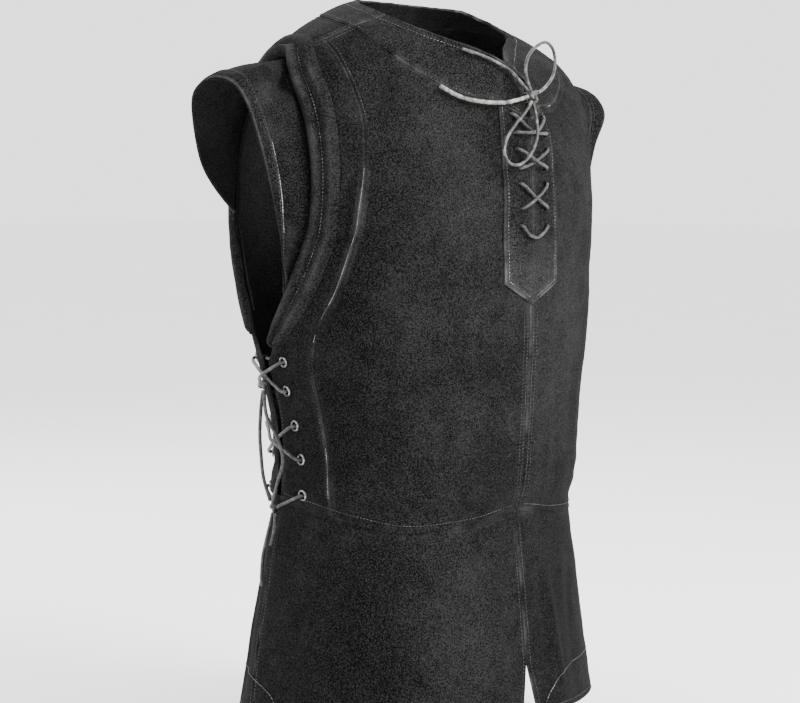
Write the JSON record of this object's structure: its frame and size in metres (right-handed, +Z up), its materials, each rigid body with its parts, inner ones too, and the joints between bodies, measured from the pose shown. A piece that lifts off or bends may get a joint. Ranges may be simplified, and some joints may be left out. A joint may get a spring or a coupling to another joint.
{
  "type": "lace-up leather vest",
  "caption": "Pull-over leather jerkin with a laced front slit, laced side openings, short shoulder caps, padded armhole bands and a short flared skirt.",
  "frame": {"origin": "between the inner shoulders at the neck, where the wearer holds the garment up", "axes": "+Z up, the front faces -Y, the wearer's right is -X"},
  "size_m": [0.5376, 0.304, 0.7026],
  "materials": {
    "panel_suede": "matt napped suede, scuffed",
    "trim_suede": "matt suede with worn edges",
    "lacing": "worn pale leather lace",
    "eyelet_metal": "dull worn metal"
  },
  "bodies": {
    "root": {"front_centre_right": "panel_suede", "front_centre_left": "panel_suede", "front_side_right": "panel_suede", "front_side_left": "panel_suede", "back_right": "panel_suede", "back_left": "panel_suede", "skirt_front_right": "panel_suede", "skirt_front_left": "panel_suede", "skirt_back": "panel_suede", "cap_right": "panel_suede", "cap_left": "panel_suede", "neckband_front_right": "trim_suede", "neckband_front_left": "trim_suede", "neckband_back": "trim_suede", "placket": "trim_suede", "armhole_band_right": "trim_suede", "armhole_band_left": "trim_suede", "cap_rim_right": "trim_suede", "cap_rim_left": "trim_suede", "front_lace": "lacing", "bow_knot": "lacing", "side_lace_right": "lacing", "upper_knot_right": "lacing", "lower_knot_right": "lacing", "side_lace_left": "lacing", "upper_knot_left": "lacing", "lower_knot_left": "lacing", "bow_loop_up": "lacing", "bow_loop_down": "lacing", "bow_end_neck": "lacing", "bow_end_front": "lacing", "slack_back_right": "lacing", "slack_front_right": "lacing", "end_long_right": "lacing", "end_short_right": "lacing", "slack_back_left": "lacing", "slack_front_left": "lacing", "end_long_left": "lacing", "end_short_left": "lacing", "eyelet_front_right_1": "eyelet_metal", "eyelet_front_right_2": "eyelet_metal", "eyelet_front_right_3": "eyelet_metal", "eyelet_front_right_4": "eyelet_metal", "eyelet_front_right_5": "eyelet_metal", "eyelet_back_right_1": "eyelet_metal", "eyelet_back_right_2": "eyelet_metal", "eyelet_back_right_3": "eyelet_metal", "eyelet_back_right_4": "eyelet_metal", "eyelet_back_right_5": "eyelet_metal", "eyelet_front_left_1": "eyelet_metal", "eyelet_front_left_2": "eyelet_metal", "eyelet_front_left_3": "eyelet_metal", "eyelet_front_left_4": "eyelet_metal", "eyelet_front_left_5": "eyelet_metal", "eyelet_back_left_1": "eyelet_metal", "eyelet_back_left_2": "eyelet_metal", "eyelet_back_left_3": "eyelet_metal", "eyelet_back_left_4": "eyelet_metal", "eyelet_back_left_5": "eyelet_metal"}
  },
  "joints": []
}
